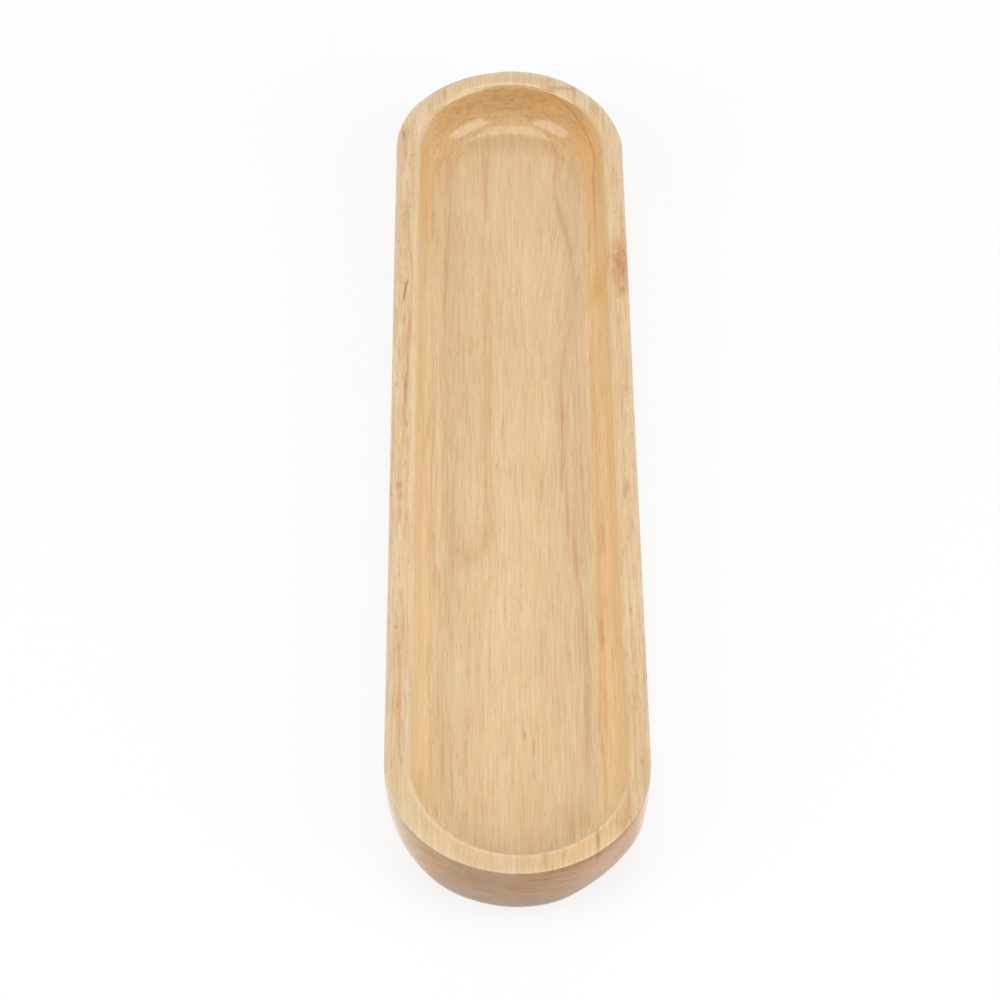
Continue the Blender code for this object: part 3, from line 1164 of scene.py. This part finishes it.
# %% The painted highlight on the lip
LIP_HIGHLIGHT = (1.03, 1.04, 1.03)
LEFT_LIP_HIGHLIGHT = (1.01, 1.02, 1.08)
FAR_LIP_HIGHLIGHT = (1.01, 1.03, 1.07)
NEAR_LIP_HIGHLIGHT = (1.07, 1.11, 1.20)
NO_TINT = (1.0, 1.0, 1.0)

lip_highlight = mix_colours(NO_TINT, left_side, LEFT_LIP_HIGHLIGHT, "MIX")
lip_highlight = mix_colours(lip_highlight, ease(along, 145.0, 175.0), FAR_LIP_HIGHLIGHT, "MIX")
lip_highlight = mix_colours(lip_highlight, ease(along, -145.0, -175.0), NEAR_LIP_HIGHLIGHT, "MIX")
# Painted highlight: the lip is made paler where it catches the light.
stain(lip_zone, LIP_HIGHLIGHT)
stain(lip_zone, lip_highlight)
print("the lip is palest at the near end")

# %% Rubbed and scuffed places
RUBBED_TINT = (1.03, 1.08, 1.16)
SCUFFED_TINT = (0.93, 0.90, 0.87)

rub_noise = grain_noise(place, (2.5, 9.0, 2.5), detail=3.0)
outer_edge = times(ease(edge_inset, 0.1, 1.1, 1.0, 0.0), ease(up, 28.6, 29.5))
rubbed = times(outer_edge, ease(rub_noise, 0.35, 0.6, 0.35, 1.0))
scuff_noise = grain_noise(place, (1.0, 22.0, 1.0), detail=4.0, roughness=0.7)
scuffed = times(ease(up, 0.2, 1.2, 1.0, 0.0), ease(scuff_noise, 0.4, 0.7))
stain(rubbed, RUBBED_TINT)
stain(scuffed, SCUFFED_TINT)
print("rubbed within 1.1 mm of the edge, scuffed up to 1.2 mm high")

# %% [markdown]
# ## All the stains on one wood
#
# Real wood takes every stain in turn and shows them all. The list could be baked to an image, but then it
# would have a fixed sharpness and seams. So the stains stay nodes, each one multiplying the colour that it
# is given.

# %% The colour of the wood
colour = PALE_STRAW
for mask, tint in stains:
    colour = mix_colours(colour, mask, tint, "MULTIPLY")
feed(shader.inputs["Base Color"], colour)
print("stains laid on:", len(stains))

# %% [markdown]
# ## Lacquer
#
# A thin satin lacquer covers everything. It could be one low roughness, but wood under lacquer has two
# shines: a broad soft one from the wood and a tighter one from the film on top. So the lacquer is the
# shader's coat. It fills the pores only part way, so they show as fine dents, and the sanding under it
# leaves the fibres just proud. It is thin on the ends, which drank it, and where hands and the table have
# rubbed it.

# %% Gloss
roughness = plus(ease(fibres, 0.2, 0.8, 0.36, 0.46), times(fine_pores, 0.12))
wear = plus(times(rubbed, 0.14), times(scuffed, 0.18))
worn_coat = calc("MAXIMUM", rubbed, scuffed)
thin_coat = calc("MAXIMUM", times(outer_end, 0.55), times(worn_coat, 0.6))
feed(shader.inputs["Roughness"], plus(roughness, wear))
feed(shader.inputs["Coat Weight"], inverse(thin_coat))
shader.inputs["Coat Roughness"].default_value = 0.15
shader.inputs["Coat IOR"].default_value = 1.55
shader.inputs["Specular IOR Level"].default_value = 0.25
print("satin coat, roughness", round(shader.inputs["Coat Roughness"].default_value, 2))

# %% Relief
RELIEF_DEPTH = 0.00008
RELIEF_STRENGTH = 0.35

relief = plus(times(fibres, 0.4), times(hair_fibres, 0.25))
bump = board.nodes.new("ShaderNodeBump")
bump.inputs["Strength"].default_value = RELIEF_STRENGTH
bump.inputs["Distance"].default_value = RELIEF_DEPTH
feed(bump.inputs["Height"], minus(relief, times(plus(fine_pores, open_pores), 0.5)))
feed(shader.inputs["Normal"], bump.outputs["Normal"])
tray_mesh.materials.append(wood)
print("nodes in the wood:", len(board.nodes))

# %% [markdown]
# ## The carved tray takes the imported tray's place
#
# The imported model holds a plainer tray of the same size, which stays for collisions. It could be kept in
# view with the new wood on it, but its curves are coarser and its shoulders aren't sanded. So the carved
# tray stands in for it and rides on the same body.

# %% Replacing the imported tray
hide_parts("tray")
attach(tray, "root")
print("carved_tray stands for the packed tray")

# %% [markdown]
# ## White paper
#
# The tray lies on a wide round of white paper that curls up all round its edge, with a taller sheet behind.
# The paper is lit like anything else, so it throws light up under the tray and takes its soft shadow. For
# the camera and in reflections most of its white is its own, which keeps the background even. Turning the
# lamps up until plain paper is white would bleach the wood.

# %% The paper's finish
PAPER_GREY = 0.86
PAPER_ROUGHNESS = 0.9
OWN_WHITE_SHARE = 0.8

paper = bpy.data.materials.new("white_paper")
paper.use_nodes = True
paper_tree = paper.node_tree
paper_shader = paper_tree.nodes["Principled BSDF"]
paper_shader.inputs["Base Color"].default_value = (PAPER_GREY, PAPER_GREY, PAPER_GREY, 1.0)
paper_shader.inputs["Roughness"].default_value = PAPER_ROUGHNESS
own_white = paper_tree.nodes.new("ShaderNodeEmission")
rays = paper_tree.nodes.new("ShaderNodeLightPath")
reflected = calc("MAXIMUM", rays.outputs["Is Glossy Ray"], rays.outputs["Is Transmission Ray"])
seen = calc("MAXIMUM", rays.outputs["Is Camera Ray"], reflected)
paper_mix = paper_tree.nodes.new("ShaderNodeMixShader")
feed(paper_mix.inputs[0], times(seen, OWN_WHITE_SHARE))
feed(paper_mix.inputs[1], paper_shader.outputs["BSDF"])
feed(paper_mix.inputs[2], own_white.outputs["Emission"])
feed(paper_tree.nodes["Material Output"].inputs["Surface"], paper_mix.outputs["Shader"])
print("share of the paper's own white:", OWN_WHITE_SHARE)


# %% A sheet of paper
def paper_piece(name, mesh):
    """Turns a bmesh into a smooth sheet of paper, linked into the scene."""
    data = bpy.data.meshes.new(name)
    mesh.to_mesh(data)
    mesh.free()
    data.shade_smooth()
    data.materials.append(paper)
    piece = bpy.data.objects.new(name, data)
    bpy.context.scene.collection.objects.link(piece)
    print(name, "has", len(data.polygons), "faces")


# %% [markdown]
# ## The two sheets
#
# The round sheet is one bent line spun through a full turn, which gives a curl all round without a seam. It
# lies a tenth of a millimetre under the tray, because two faces at one height would flicker. The second
# sheet is a line drawn straight up.

# %% The round floor
FLOOR_REACH = 3.2
CURL_RADIUS = 0.6
CURL_STEPS = 8
ROUND_EDGE = 0.9
MIDDLE_PATCH = 0.3
PAPER_GAP = 0.0001

sweep = bmesh.new()
angles = [pi / 2 * step / CURL_STEPS for step in range(CURL_STEPS + 1)]
curl = [(FLOOR_REACH + CURL_RADIUS * sin(angle), CURL_RADIUS * (1 - cos(angle))) for angle in angles]
profile = [(0.0, 0.0), (MIDDLE_PATCH, 0.0)] + curl + [(curl[-1][0], ROUND_EDGE)]
line = [sweep.verts.new((x, 0.0, z)) for x, z in profile]
edges = [sweep.edges.new(pair) for pair in zip(line, line[1:])]
bmesh.ops.spin(
    sweep,
    geom=line + edges,
    cent=(0, 0, 0),
    axis=(0, 0, 1),
    angle=2 * pi,
    steps=96,
    use_merge=True,
    use_duplicate=False,
)
bmesh.ops.remove_doubles(sweep, verts=sweep.verts, dist=WELD)
bmesh.ops.translate(sweep, verts=sweep.verts, vec=Vector((0, 0, -PAPER_GAP)))
bmesh.ops.recalc_face_normals(sweep, faces=sweep.faces)
paper_piece("paper_floor", sweep)

# %% The hanging sheet
BACKDROP_DISTANCE = 1.9
BACKDROP_WIDTH = 3.0
BACKDROP_HEIGHT = 3.0
BACKDROP_FOOT = 0.002

hanging = bmesh.new()
corners = [(side * BACKDROP_WIDTH / 2, BACKDROP_DISTANCE, BACKDROP_FOOT) for side in (-1, 1)]
foot = hanging.edges.new([hanging.verts.new(corner) for corner in corners])
drawn = bmesh.ops.extrude_edge_only(hanging, edges=[foot])["geom"]
top = [item for item in drawn if isinstance(item, bmesh.types.BMVert)]
bmesh.ops.translate(hanging, verts=top, vec=Vector((0, 0, BACKDROP_HEIGHT)))
paper_piece("paper_backdrop", hanging)

# %% [markdown]
# ## Light
#
# Three soft lamps and a dim room. The shine in the cove at the far end is a mirror of the studio: it shows
# one softbox to the front right and one to the front left, each a little taller than wide, so those lamps
# stand there. A square one hangs overhead. One big lamp would be simpler, but the cove would lose its two
# lights. The room itself stays dim, which keeps the sloping walls rich in colour.

# %% The dim room
AMBIENT = 0.38

world = bpy.data.worlds.new("studio")
bpy.context.scene.world = world
world.use_nodes = True
background = world.node_tree.nodes["Background"]
background.inputs["Color"].default_value = (1.0, 1.0, 1.0, 1.0)
background.inputs["Strength"].default_value = AMBIENT
print("light of the room:", AMBIENT)

# %% Softboxes
LAMP_DISTANCE = 1.5


def softbox(name, size, bearing, height_angle, glow):
    """A lamp aimed at the tray. Bearing turns from +Y towards +X; glow is its brightness, white is 1."""
    lamp = bpy.data.lights.new(name, "AREA")
    lamp.shape = "RECTANGLE"
    lamp.size, lamp.size_y = size
    lamp.energy = glow * pi * size[0] * size[1]
    light = bpy.data.objects.new(name, lamp)
    bpy.context.scene.collection.objects.link(light)
    turn, rise = radians(bearing), radians(height_angle)
    direction = Vector((sin(turn) * cos(rise), cos(turn) * cos(rise), sin(rise)))
    light.location = direction * LAMP_DISTANCE
    light.rotation_euler = direction.to_track_quat("Z", "Y").to_euler()
    light.visible_camera = False
    print(name, round(lamp.energy, 2), "W")


softbox("overhead_softbox", (1.1, 1.1), 0.0, 86.0, 1.75)
softbox("right_softbox", (1.25, 1.4), 116.0, 28.0, 2.75)
softbox("left_softbox", (1.05, 1.3), 243.0, 30.0, 2.95)

# %% [markdown]
# ## Camera
#
# The camera looks down the length of the tray from above its near end, through a long lens, so the far end
# is only a little narrower than the near one. A camera can be placed by eye, but here its place, aim, roll
# and lens were fitted to the edges of the real tray, and are given here by name.

# %% The camera and its lens
CAMERA_EYE = Vector((-0.016359, -0.755961, 0.883571))
CAMERA_AIM = Vector((-0.005093, -0.034579, 0.030))
CAMERA_ROLL = radians(0.635)
FOCAL_LENGTH = 111.57
SENSOR_WIDTH = 36.0
NEAREST_SEEN = 0.01

lens = bpy.data.cameras.new("photo_camera")
lens.sensor_width = SENSOR_WIDTH
lens.lens = FOCAL_LENGTH
lens.clip_start = NEAREST_SEEN
camera = bpy.data.objects.new("photo_camera", lens)
bpy.context.scene.collection.objects.link(camera)
camera.location = CAMERA_EYE
level = (CAMERA_AIM - CAMERA_EYE).to_track_quat("-Z", "Y")
camera.rotation_euler = (level @ Quaternion((0.0, 0.0, 1.0), CAMERA_ROLL)).to_euler()
bpy.context.scene.camera = camera
bpy.context.scene.view_settings.view_transform = "Standard"
print("camera", round((CAMERA_AIM - CAMERA_EYE).length, 3), "m from the tray")
